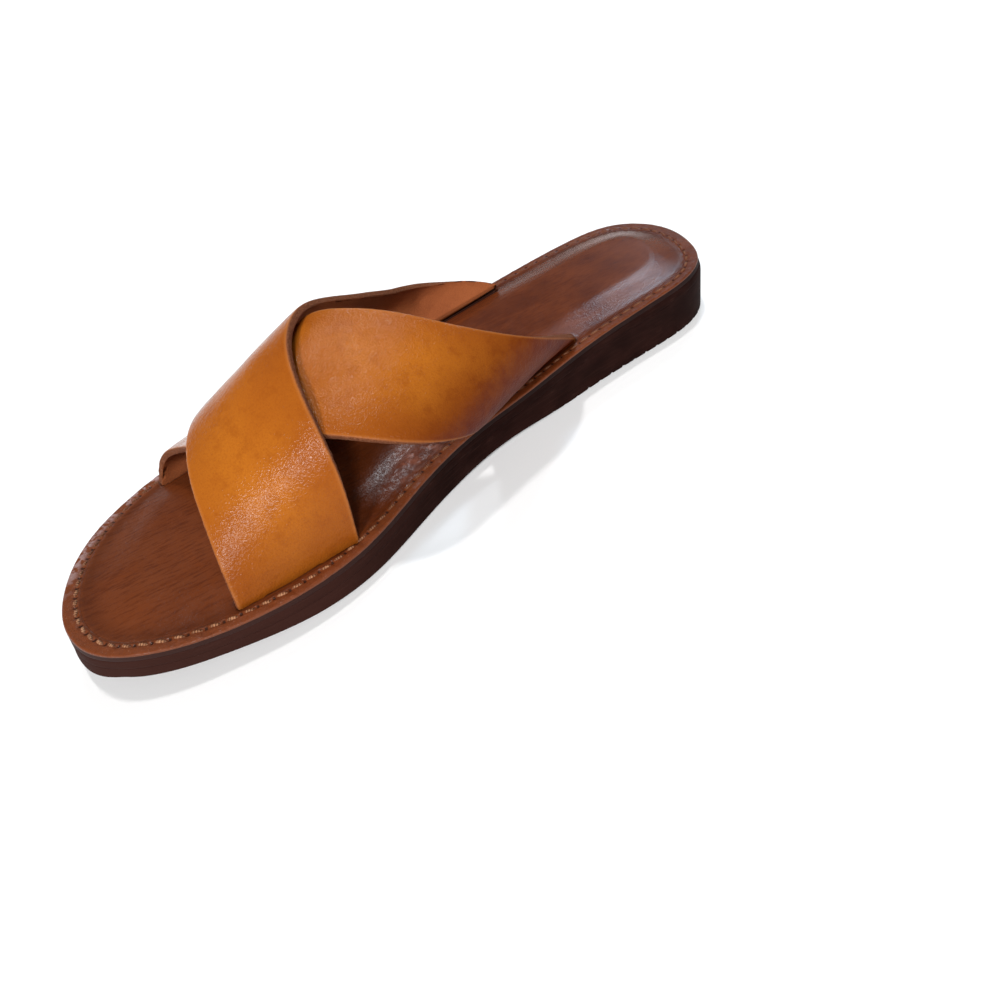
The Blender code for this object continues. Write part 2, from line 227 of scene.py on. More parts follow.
def add_piece(name, points, material, marks, replaced=()):
    """One object from copies x round x along grids of points, closed round their second index.

    The first and the last ring of a copy close by merging the points that coincide there.  The UV
    map runs along and round each grid from 0 to 1, and marks become attributes of the points.
    """
    copies, around, length = points.shape[:3]
    index = np.arange(copies * around * length).reshape(copies, around, length)
    turned = np.roll(index, -1, axis=1)
    quads = np.stack([index[..., :-1], turned[..., :-1], turned[..., 1:], index[..., 1:]], axis=-1)
    count = quads.size // 4
    mesh = bpy.data.meshes.new(name)
    mesh.vertices.add(index.size)
    mesh.vertices.foreach_set("co", ((points + SHIFT) * 0.001).ravel())
    mesh.loops.add(count * 4)
    mesh.loops.foreach_set("vertex_index", quads.ravel())
    mesh.polygons.add(count)
    mesh.polygons.foreach_set("loop_start", np.arange(count) * 4)
    mesh.polygons.foreach_set("use_smooth", np.ones(count, bool))
    mesh.update(calc_edges=True)
    i = np.arange(around)[:, None, None] + np.array([0, 1, 1, 0])
    j = np.arange(length - 1)[None, :, None] + np.array([0, 0, 1, 1])
    uv = np.stack(np.broadcast_arrays(j / (length - 1), i / around), axis=-1)
    uv = np.broadcast_to(uv, (copies, *uv.shape))
    mesh.uv_layers.new(name="along_round").data.foreach_set("uv", uv.ravel())
    for mark, values in marks.items():
        values = np.broadcast_to(values, index.shape).astype(np.float32)
        mesh.attributes.new(mark, "FLOAT", "POINT").data.foreach_set("value", values.ravel())
    shell = bmesh.new()
    shell.from_mesh(mesh)
    shell.verts.ensure_lookup_table()
    ends = [shell.verts[v] for v in np.r_[index[..., 0].ravel(), index[..., -1].ravel()]]
    bmesh.ops.remove_doubles(shell, verts=ends, dist=1e-7)
    shell.to_mesh(mesh)
    shell.free()
    mesh.materials.append(material)
    piece = bpy.data.objects.new(name, mesh)
    bpy.context.scene.collection.objects.link(piece)
    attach(piece, "root")
    if replaced:
        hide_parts(*replaced)
    return piece


class Wire:
    """A socket of a material; arithmetic on it adds the Math nodes."""

    def __init__(self, tree, socket):
        self.tree, self.socket = tree, socket

    def node(self, kind, settings, sockets, out=0):
        """Adds a node of a type: its settings, then values or wires for its sockets."""
        made = self.tree.nodes.new("ShaderNode" + kind)
        for key, value in settings.items():
            setattr(made, key, value)
        for key, value in sockets.items():
            if isinstance(value, Wire):
                self.tree.links.new(value.socket, made.inputs[key])
            else:
                made.inputs[key].default_value = value
        return Wire(self.tree, made.outputs[out])

    def math(self, operation, *values):
        return self.node("Math", {"operation": operation}, dict(enumerate(values)))

    def __add__(self, other):
        return self.math("ADD", self, other)

    def __sub__(self, other):
        return self.math("SUBTRACT", self, other)

    def __rsub__(self, other):
        return self.math("SUBTRACT", other, self)

    def __mul__(self, other):
        return self.math("MULTIPLY", self, other)

    __radd__ = __add__
    __rmul__ = __mul__

    def between(self, low, high):
        """0 below low, 1 above high, smooth between; low may be the larger."""
        return self.node("MapRange", {"interpolation_type": "SMOOTHSTEP"},
                         {0: self, 1: low, 2: high, 3: 0.0, 4: 1.0})

    def mark(self, name):
        """An attribute of the points."""
        return self.node("Attribute", {"attribute_name": name}, {}, out=2)

    def turned(self, angle):
        """This vector turned about the vertical, so that a grain stretched along X runs aslant."""
        return self.node("Mapping", {}, {"Vector": self, "Rotation": (0, 0, -angle)})

    def grain(self, size, detail=2.0, stretch=(1, 1, 1), start=0.0, roughness=0.5):
        """Noise of 0 to 1 over this vector, of a grain size in millimetres, stretched by axis."""
        scale = [1000 / (size * s) for s in stretch]
        placed = self.node("Mapping", {}, {"Vector": self, "Location": (start,) * 3, "Scale": scale})
        return placed.node("TexNoise", {}, {"Vector": placed, "Scale": 1.0, "Detail": detail,
                                            "Roughness": roughness})

    def mix(self, low, high):
        """Colour between two colours or wires, by this value."""
        return self.node("Mix", {"data_type": "RGBA"}, {0: self, 6: low, 7: high}, out=2)


def finish(name, **constants):
    """New material: returns it, a wire on its object coordinates and a way to feed its shader."""
    material = bpy.data.materials.new(name)
    material.use_nodes = True
    tree = material.node_tree
    shader = tree.nodes["Principled BSDF"]
    for key, value in constants.items():
        shader.inputs[key.replace("_", " ")].default_value = value
    where = tree.nodes.new("ShaderNodeTexCoord")

    def feed(key, wire):
        tree.links.new(wire.socket, shader.inputs[key])
    return material, Wire(tree, where.outputs["Object"]), feed


def raise_grain(feed, height):
    """Bump from a height in millimetres."""
    feed("Normal", height.node("Bump", {}, {"Strength": 1.0, "Distance": 0.001, "Height": height}))


def inked_wall(spot):
    """Colour, roughness and height of the ground wall: dark ink with sanding lines and scuffs."""
    lines = spot.grain(0.30, 3.0, (40, 40, 1), 4.0, 0.6)
    cloud = spot.grain(14.0, 3.0, (1, 1, 0.5), 9.0)
    scuff = spot.grain(1.4, 4.0, (6, 6, 1), 2.0, 0.7).between(0.60, 0.76) * cloud.between(0.40, 0.62)
    dark = cloud.between(0.3, 0.7).mix((0.0095, 0.0030, 0.0023, 1), (0.0165, 0.0053, 0.0040, 1))
    # Painted light: the ink is mixed to a lighter brown towards the toe, where more light falls on the
    # wall.
    toe = spot.node("SeparateXYZ", {}, {0: spot}, out=1).between(-0.02, -0.10)
    dark = (toe * 0.7).mix(dark, (0.044, 0.0160, 0.0120, 1))
    colour = (lines.between(0.48, 0.8) * 0.30 + scuff * 0.5).mix(dark, (0.058, 0.027, 0.021, 1))
    rough = 0.66 + lines * 0.15 - cloud * 0.08
    height = lines * 0.045 + scuff * 0.04 + spot.grain(0.5, 2.0, (1, 1, 1), 1.0) * 0.03
    return colour, rough, height


rubber, spot, feed = finish("sole_rubber_ground", Specular_IOR_Level=0.02)
colour, rough, height = inked_wall(spot)
feed("Base Color", colour)
feed("Roughness", rough)
raise_grain(feed, height)

WALL_ROWS, ROUND_ROWS, TREAD_COLUMNS, TREAD_SHARES = 12, 4, 12, 12
RIM = (SQUARE_IN, 3.0, 0.05, 0.0)       # hidden top from the square-in line out to the edge
RIM_FALL, WALL_TOP = 0.005, 0.02        # share of the way down of its last row and the wall's first
FOOT_ROUND = 0.7                        # rounding of the wall's foot
corner = np.radians(np.linspace(0, 90, ROUND_ROWS + 1))
down = np.linspace(0.0, 1.0, WALL_ROWS)
across_in = np.linspace(FOOT_ROUND, SQUARE_IN, TREAD_COLUMNS + 1)[1:]
to_spine = np.linspace(0.0, 1.0, TREAD_SHARES + 1)[1:]
top_shares = to_spine[::-3]
depth = np.r_[np.full(len(top_shares), SQUARE_IN), RIM, np.zeros(WALL_ROWS),
              FOOT_ROUND * (1 - np.cos(corner[1:])), across_in, np.full(TREAD_SHARES, SQUARE_IN)]
share = np.r_[top_shares, np.zeros(len(RIM) + WALL_ROWS + ROUND_ROWS + TREAD_COLUMNS), to_spine]
top_count = len(top_shares) + len(RIM) - 1
fall = np.r_[np.zeros(top_count), RIM_FALL, WALL_TOP + (1 - WALL_TOP) * down,
             np.ones(ROUND_ROWS + TREAD_COLUMNS + TREAD_SHARES)]
lift = np.r_[np.zeros(top_count + 1), down * FOOT_ROUND,
             FOOT_ROUND * (1 - np.sin(corner[1:])), np.zeros(TREAD_COLUMNS + TREAD_SHARES)]
ring_y = RING[:, 1:]
outsole_top = INSOLE_THICK + MIDSOLE_THICK + SEAM
full = profile(ring_y, 1) - profile(ring_y, 2)
out = wall_out(outsole_top + (full - outsole_top) * fall) * np.where(share > 0, 0, 1)
xy = plan(depth - out * np.clip(1 - (depth - FOOT_ROUND) / SWELL_FADE, 0, 1), share)
y = xy[..., 1]
from_groove = np.abs((y / RIB_PITCH + 0.5) % 1.0 - 0.5) * RIB_PITCH
uneven = 0.75 + 0.25 * np.sin(2.4 * np.round(y / RIB_PITCH))
reach = np.maximum(smooth((y - 5) / 45), smooth((depth - 4) / 3))
rib = RIB_DEEP * smooth((RIB_GAP / 2 - from_groove) / 0.5 + 0.5) * uneven * reach
bottom = profile(y, 2) + lift + rib * smooth((fall - 0.95) / 0.05)
top = profile(y, 1) - outsole_top
z = top * (1 - fall) + bottom * fall
add_piece("outsole_rubber", np.dstack([xy, z])[None], rubber, {}, ["outsole"])

# --------------------------------------------------------------------------------- midsole
# A thin board of pressed leather fibre between outsole and footbed, inked dark on its ground
# edge.  The straps' ends are glued and tacked between it and the footbed.
board, spot, feed = finish("midsole_board_inked", Specular_IOR_Level=0.02)
colour, rough, height = inked_wall(spot)
feed("Base Color", colour)
feed("Roughness", rough)
raise_grain(feed, height)

depth = np.r_[SQUARE_IN, SQUARE_IN, 2.0, 0.05, 0.0, 0.0, 0.0, 0.0, 0.05, 2.0, SQUARE_IN, SQUARE_IN]
share = np.r_[1.0, np.zeros(10), 1.0]
below = INSOLE_THICK + SEAM + (MIDSOLE_THICK - 2 * SEAM) * np.r_[
    0, 0, 0, 0, 0.015, 0.33, 0.67, 0.985, 1, 1, 1, 1]
out = wall_out(below) * np.where(share > 0, 0, 1)
xy = plan(depth - out * np.clip(1 - depth / SWELL_FADE, 0, 1), share)
z = profile(xy[..., 1], 1) - below
add_piece("midsole_board", np.dstack([xy, z])[None], board, {}, ["midsole"])

# ------------------------------------------------------------------------------ insole pad
# The footbed: one piece of glazed leather drawn over a foam pad, with a level margin that is
# stitched all round.  Four slots just inside the stitches take the ends of the straps.
PAD_START, PAD_ROLL, PAD_RISE = 4.0, 17.0, 2.0      # where the pad begins, and its roll's width and height
STITCH_IN, STITCH_IN_HEEL = 3.2, 5.6     # stitch line in from the edge, in general and at the heel
STITCH_FRONT, STITCH_HEEL = 4.5, 6.5    # length of a stitch, from the toe to the waist and at the heel
EDGE_ROUND = 0.6                        # rounding of the footbed's top edge
WAIST_Y, RIDGE_IN = -22.0, 13.0         # middle of the pinched waist, and its ridge in from the edge
WAVES, WAVES_TO_ONE = 12, 3.5           # plane waves in a ripple, and what brings their sum to about 1
FULL_TURN = 6.283                       # radians
STRAP_THICK = 2.2
SLOT_SHORT, SLOT_PLAY = 0.8, 0.1        # a slot ends inside the strap's edges and clears its faces
SLOTS = (
    # front corner x, y, then rear corner x, y, each on the grain face of the strap
    (36.5, -102.5, 41.0, -67.0),
    (-34.0, -2.0, -31.5, 54.0),
    (28.3, -8.0, 27.5, 41.0),
    (-37.8, -96.0, -41.0, -53.0),
)
CREASES = (
    # middle x, y, length, bend and depth of the creases that run across the ball
    (-4.0, -112.0, 34.0, 0.006, 0.10),
    (8.0, -104.0, 40.0, 0.004, 0.14),
    (-10.0, -99.0, 30.0, -0.003, 0.10),
    (2.0, -92.0, 46.0, 0.003, 0.16),
    (14.0, -84.0, 30.0, -0.004, 0.10),
    (-8.0, -79.0, 42.0, 0.002, 0.14),
    (4.0, -68.0, 36.0, 0.003, 0.10),
)


def ripples(x, y, size, seed):
    """Uneven waves of about one size: the sum of twelve plane waves in seeded directions."""
    least, most = (0, 0, 0.7), (FULL_TURN, FULL_TURN, 1.5)      # direction, start, share of the size
    turn, start, stretch = np.random.default_rng(seed).uniform(least, most, (WAVES, 3)).T
    wave = (x[..., None] * np.cos(turn) + y[..., None] * np.sin(turn)) / (size * stretch)
    return np.sin(FULL_TURN * wave + start).sum(axis=-1) / WAVES_TO_ONE


def slot_distance(x, y):
    """Distance in plan from the nearest slot, zero inside it."""
    nearest = np.full(x.shape, 99.0)
    for fx, fy, rx, ry in SLOTS:
        run = math.hypot(rx - fx, ry - fy)
        ux, uy = (rx - fx) / run, (ry - fy) / run
        a = (x - fx) * ux + (y - fy) * uy
        side = -math.copysign(1.0, fx)
        b = ((x - fx) * -uy + (y - fy) * ux) * side * math.copysign(1.0, -uy)
        past = np.maximum(np.maximum(SLOT_SHORT - a, a - run + SLOT_SHORT), 0)
        beside = np.maximum(np.maximum(-SLOT_PLAY - b, b - STRAP_THICK - SLOT_PLAY), 0)
        nearest = np.minimum(nearest, np.hypot(past, beside))
    return nearest


def stitch_line(y):
    """Distance of the stitch line from the edge: the margin is widest round the back of the heel."""
    return STITCH_IN + (STITCH_IN_HEEL - STITCH_IN) * smooth((y - 92) / 40)


# The stitches are short at the front and long round the heel: phase counts them round the ring.
step = np.linalg.norm(np.roll(RING, -1, axis=0) - RING, axis=1)
wanted = STITCH_FRONT + (STITCH_HEEL - STITCH_FRONT) * smooth((RING[:, 1] - 10) / 70)
phase = np.r_[0.0, np.cumsum(step / wanted)]
STITCHES = int(round(phase[-1]))
phase *= STITCHES / phase[-1]

CORE_SHARES, ROLL_COLUMNS = 26, 22      # grid columns out from the spine, and then over the pad's roll
corner = np.radians(np.linspace(0, 90, 6))
fine = np.arange(4.9, 1.5, -0.3)
side_drops = np.array([0.9, 1.3, 1.9, 2.5, 2.57, 2.57, 2.57, 2.57])
depth = np.r_[np.full(CORE_SHARES, SQUARE_IN), np.linspace(SQUARE_IN, 5.2, ROLL_COLUMNS), fine, 1.1,
              EDGE_ROUND * (1 - np.sin(corner)), 0, 0, 0, 0, 0.05, 3.0, SQUARE_IN, SQUARE_IN]
flat = CORE_SHARES + ROLL_COLUMNS + len(fine) + 1
share = np.r_[np.linspace(1.0, 0.04, CORE_SHARES), np.zeros(len(depth) - CORE_SHARES - 1), 1.0]
drop = np.r_[np.zeros(flat), EDGE_ROUND * (1 - np.cos(corner)), side_drops]
on_top = (np.arange(len(depth)) < flat + 2).astype(float)
out = wall_out(drop) * np.where(share > 0, 0, 1)
xy = plan(depth - out * np.clip(1 - depth / SWELL_FADE, 0, 1), share)
x, y = xy[..., 0], xy[..., 1]
deep = depth + share * 20 + STITCH_IN - stitch_line(y)
beat = np.cos(2 * math.pi * phase[:-1])[:, None]
hole = smooth((beat - 0.35) / 0.6) * hump((deep - STITCH_IN) / 0.5)
channel = hump((deep - STITCH_IN) / 0.7)
puff = hump((deep - STITCH_IN - 1.3) / 0.8) + 0.6 * hump((deep - STITCH_IN + 1.2) / 0.7)
roll = np.clip((deep - PAD_START) / PAD_ROLL, 0, 1)
slot_near = slot_distance(x, y)
waist = hump((y - WAIST_Y) / 30) * smooth((x - 6) / 12)
ridge = waist * hump((deep - RIDGE_IN) / 1.2)
waist = waist * smooth((deep - 4) / 2) * smooth((RIDGE_IN - deep) / 2)
forefoot = smooth((-y - 45) / 30)
relief = PAD_RISE * np.sin(roll * math.pi / 2)**2 + 0 * x
relief += 0.10 * ripples(x, y, 42, 1) * smooth((deep - 6) / 10)
relief -= 0.12 * channel + 0.34 * hole - 0.07 * puff * (0.5 - 0.5 * beat)
relief -= 0.08 * hump((deep - 6.5) / 1.8)
relief += 0.07 * ripples(x, y, 4.0, 6) * smooth((5 - deep) / 2)
relief += waist * (0.06 * ripples(x, y * 0.6, 7.0, 2) + 0.05 * ripples(x, y, 3.0, 3))
relief += 0.16 * ridge
relief += forefoot * 0.03 * ripples(x * 0.35, y, 5.0, 4)
for cx, cy, run, bend, low in CREASES:
    off = y - cy - bend * (x - cx)**2 + 0.5 * ripples(x, y, 16, 5)
    relief -= low * (hump(off / 1.1) - 0.5 * hump(off / 3.0)) * hump((x - cx) / (run / 2))
relief += 0.07 * hump((slot_near - 1.8) / 0.9)
relief -= 2.3 * smooth(1 - slot_near / 0.6)
z = profile(y, 1) + relief * on_top - drop
marks = {
    "deep": deep,
    "below": drop * np.where(share > 0, 0, 1),
    "beat": beat,
    "slot": np.exp(-slot_near / 1.6),
    "waist": waist,
}

glazed, spot, feed = finish("insole_leather_glazed", Specular_IOR_Level=0.09, Coat_Roughness=0.20)
STREAKS = math.radians(80)      # the dye was wiped on almost along the foot
wiped = spot.turned(STREAKS)
deep, below, beat = (spot.mark(name) for name in ("deep", "below", "beat"))
cloud = spot.grain(24.0, 4.0, start=3.0)
streak = wiped.grain(1.0, 4.0, (5, 1, 1), 5.0, 0.7)
haze = wiped.grain(6.0, 3.0, (4, 1, 1), 2.0, 0.6)
pores = spot.grain(0.8, 2.0, start=6.0, roughness=0.6)
dent = spot.grain(2.6, 3.0, start=10.0, roughness=0.6)
wrinkle = wiped.grain(1.3, 3.0, (4, 1, 1), 8.0, 0.6)
blotch = spot.grain(5.0, 3.0, start=7.0, roughness=0.6)
fleck = spot.grain(0.7, 3.0, (1, 1, 1), 12.0, 0.7)
body = cloud.between(0.35, 0.68).mix((0.082, 0.0160, 0.0040, 1), (0.126, 0.0270, 0.0064, 1))
across, along = (spot.node("SeparateXYZ", {}, {0: spot}, out=axis) for axis in (0, 1))
body = (along.between(-0.04, -0.12) * 0.40).mix(body, (0.205, 0.056, 0.0190, 1))
body = (haze.between(0.42, 0.68) * 0.60).mix(body, (0.138, 0.030, 0.0068, 1))
body = (streak.between(0.44, 0.68) * 0.50).mix(body, (0.056, 0.0096, 0.0024, 1))
body = (blotch.between(0.50, 0.68) * spot.mark("waist") * 0.85).mix(body, (0.26, 0.085, 0.048, 1))
margin = deep.between(4.6, 3.6)
body = (margin * (along.between(0.08, -0.01) * 0.45 + 0.15)).mix(body, (0.175, 0.042, 0.0115, 1))
# Painted highlight: pale peach flecks over the stitched margin stand in for small glints off its creased
# leather.
body = (fleck.between(0.60, 0.75) * margin * 0.55).mix(body, (0.34, 0.155, 0.095, 1))
# Painted highlight: bluish-white glints on the leather lumps between the stitches along the outer side of
# the toe, where light catches them.
glint_margin = deep.between(3.4, 1.2) * across.between(0.0, -0.02) * along.between(-0.05, -0.08)
glint_lump = dent.between(0.44, 0.58) * (fleck * 0.8 + 0.3)
body = (glint_lump * glint_margin).mix(body, (0.40, 0.28, 0.27, 1))
# Painted shade: the soft valley between the stitch line and the pad's roll is darkened in the colour.
valley_shade = deep.between(4.2, 5.4) * deep.between(11.0, 6.0)
body = (valley_shade * 0.30).mix(body, (0.042, 0.0085, 0.0030, 1))
# Painted shade: the punched stitch holes and the mouths of the strap slots are darkened in the colour for
# the shade inside them.
NEAR_LINE, OFF_LINE = 0.35, 0.75        # a hole's dark spot is full this near the line, gone this far
on_line = deep.between(STITCH_IN - OFF_LINE, STITCH_IN - NEAR_LINE)
on_line = on_line * deep.between(STITCH_IN + OFF_LINE, STITCH_IN + NEAR_LINE)
hole_shade = beat.between(0.68, 0.95) * on_line
dark = hole_shade.math("MAXIMUM", hole_shade, spot.mark("slot").between(0.25, 0.9))
body = (dark * 0.84).mix(body, (0.012, 0.0045, 0.003, 1))
# Partly burnish and partly painted highlight: the rounded top of the edge is painted a lighter brown where
# it catches the light.
rim_burnish_and_highlight = below.between(0.05, 0.45)
body = (rim_burnish_and_highlight * 0.7).mix(body, (0.150, 0.050, 0.026, 1))
ink_colour, ink_rough, ink_height = inked_wall(spot)
ink = (below + streak * 0.35).between(0.85, 1.10)
rough_part = spot.mark("waist") * 0.6 + margin
ink_colour = (below.between(0.5, 1.2) * 0.15).mix(ink_colour, (0.008, 0.0028, 0.0022, 1))
feed("Base Color", ink.mix(body, ink_colour))
feed("Roughness", (0.22 + cloud * 0.06 + rough_part * 0.20 + dark * 0.3) * (1 - ink) + ink_rough * ink)
trodden = along.between(0.075, 0.110) * across.between(-0.006, -0.020)
untrodden = along.between(0.030, 0.060) * across.between(0.010, 0.020)
gloss = (pores.between(0.42, 0.62) * 0.24 + trodden * 0.16 + 0.03) * (1 - untrodden * 0.75)
feed("Coat Weight", gloss * (1 - rough_part * 0.5) * (1 - ink))
grain_height = pores * 0.08 + streak * 0.05 + wrinkle * (0.04 + rough_part * 0.10)
grain_height = grain_height + rough_part * (fleck * 0.08 + dent * 0.55)
raise_grain(feed, grain_height * (1 - ink) + ink_height * ink)

insole = add_piece("insole_pad", np.dstack([xy, z])[None], glazed, marks, ["insole"])

# ---------------------------------------------------------------------------------- straps
# Two wide bands cut from thick tan leather, with raw edges.  The under one runs from the inner
# side of the waist to the outer side of the toes, and the top one crosses it the other way.
UNDER_STRAP = (
    # front edge x, y, z and rear edge x, y, z of the grain face, inner slot to outer slot
    ((28.3, -8.0, 15.6), (27.5, 41.0, 19.3)),
    ((46.0, -24.0, 24.0), (40.5, 22.0, 33.0)),
    ((49.0, -41.0, 33.0), (42.0, 3.5, 43.5)),
    ((40.0, -56.5, 40.6), (29.0, -14.5, 53.3)),
    ((24.5, -70.5, 43.8), (10.0, -30.0, 60.0)),
    ((7.0, -85.5, 41.0), (-4.4, -42.0, 58.4)),
    ((-16.0, -88.7, 32.2), (-19.0, -45.1, 43.0)),
    ((-37.5, -94.6, 16.6), (-43.5, -48.0, 17.5)),
    ((-37.8, -96.0, 12.2), (-41.0, -53.0, 13.2)),
)
TOP_STRAP = (
    ((36.5, -102.5, 12.2), (41.0, -67.0, 12.0)),
    ((30.0, -100.5, 23.5), (40.0, -65.5, 35.5)),
    ((16.0, -96.0, 35.5), (15.5, -58.2, 58.7)),
    ((-4.0, -87.0, 42.5), (-3.0, -44.3, 62.7)),
    ((-22.0, -69.0, 39.6), (-16.0, -23.0, 55.0)),
    ((-37.5, -48.5, 33.2), (-27.0, -1.0, 44.5)),
    ((-46.0, -28.0, 27.0), (-38.0, 18.5, 35.6)),
    ((-45.0, -12.0, 21.5), (-40.0, 37.0, 28.5)),
    ((-34.0, -2.0, 16.6), (-31.5, 54.0, 20.8)),
)
STRAP_LAP = 0.5             # glue line between the straps where they cross
GLUE_RADIUS, GLUE_FADE = 8.0, 26.0      # they touch this far from the crossing, then part
LAP_FADE = 18.0             # the under strap bends back over this width beside the top one
LOOSE_ROWS, LOOSE_COLUMNS = 90, 17      # the under strap's grid while it is being laid
FACE_ROWS, FACE_COLUMNS = 220, 61       # and both straps' grids afterwards
GRAIN_COLUMNS, FLESH_COLUMNS = 46, 30   # points of a section across the grain and the flesh side
GRAIN_ROUND, FLESH_ROUND = 0.65, 0.35   # rounding of its corners on either side
SUNK_LEVELS = 4             # rows of an end from the footbed's slot down to the midsole
ABOVE_BOARD = 0.1           # and how far above the midsole it ends
# Troughs: the end that each is near, with 0 for the inner one, its distance from it and its depth.
UNDER_CREASES = ((0, 5.0, 0.08),)
TOP_CREASES = ((0, 4.2, 0.14), (0, 6.6, 0.10), (0, 9.5, 0.05))
# Darkening at the inner and at the outer end, partly burnish and partly painted shade: its length and how
# dark it is.
UNDER_BURNISH_AND_SHADE = ((100.0, 1.0), (12.0, 0.6))
TOP_BURNISH_AND_SHADE = ((45.0, 0.30), (20.0, 0.6))


def across_line(rows, count, columns):
    """Grain face of a strap: a spline along each edge and straight lines across between them."""
    front, rear = (spline([row[edge] for row in rows], count) for edge in (0, 1))
    v = np.linspace(0, 1, columns)[None, :, None]
    return front[:, None] * (1 - v) + rear[:, None] * v


def normals(face):
    """Unit normals of the grain face: across the strap times along it."""
    n = np.cross(np.gradient(face, axis=1), np.gradient(face, axis=0))
    return n / np.linalg.norm(n, axis=2, keepdims=True)


def lay_under(face, over):
    """A face bent to lie under another: flat against it at the crossing, and clear of it elsewhere.

    Each point moves along the normal of the nearest point of the over face.  Where it hangs too
    low the move fades with the distance from the crossing, and where it is too high it fades with
    the distance past the over strap's edge.  The moves are then evened out with their neighbours'.
    """
    up = normals(over)
    up *= np.sign(up[..., 2:])
    flat, up_flat = over.reshape(-1, 3), up.reshape(-1, 3)
    middles = [grid[:, grid.shape[1] // 2, :2] for grid in (over, face)]
    apart = np.linalg.norm(middles[0][:, None] - middles[1][None], axis=2)
    i, j = np.unravel_index(apart.argmin(), apart.shape)
    centre = (middles[0][i] + middles[1][j]) / 2
    move = np.zeros_like(face)
    held, evenings = 8, 3   # rows left alone at each end, so that it stays in its slot
    for row, step in zip(face[held:-held], move[held:-held]):
        near = ((row[:, None] - flat[None])**2).sum(axis=2).argmin(axis=1)
        rel = row - flat[near]
        below = -(rel * up_flat[near]).sum(axis=1)
        aside = np.sqrt(np.maximum((rel**2).sum(axis=1) - below**2, 0))
        spare = below - STRAP_THICK - STRAP_LAP
        away = np.linalg.norm(row[:, :2] - centre, axis=1)
        parting = smooth(1 - (away - GLUE_RADIUS) / GLUE_FADE)
        ease = np.where(spare > 0, parting, smooth(1 - aside / LAP_FADE))
        step += up_flat[near] * (spare * ease)[:, None]
    for _ in range(evenings):
        padded = np.pad(move, ((1, 1), (1, 1), (0, 0)), mode="edge")
        move = (padded[:-2, 1:-1] + padded[2:, 1:-1] + padded[1:-1, :-2] + padded[1:-1, 2:]) / 4
    return face + move


def finer(face, rows, columns):
    """The face at more rows and columns, by splines along it and then across it."""
    longer = spline(face.reshape(len(face), -1), rows).reshape(rows, -1, 3)
    turned = longer.transpose(1, 0, 2)
    wider = spline(turned.reshape(len(turned), -1), columns).reshape(columns, rows, 3)
    return wider.transpose(1, 0, 2)


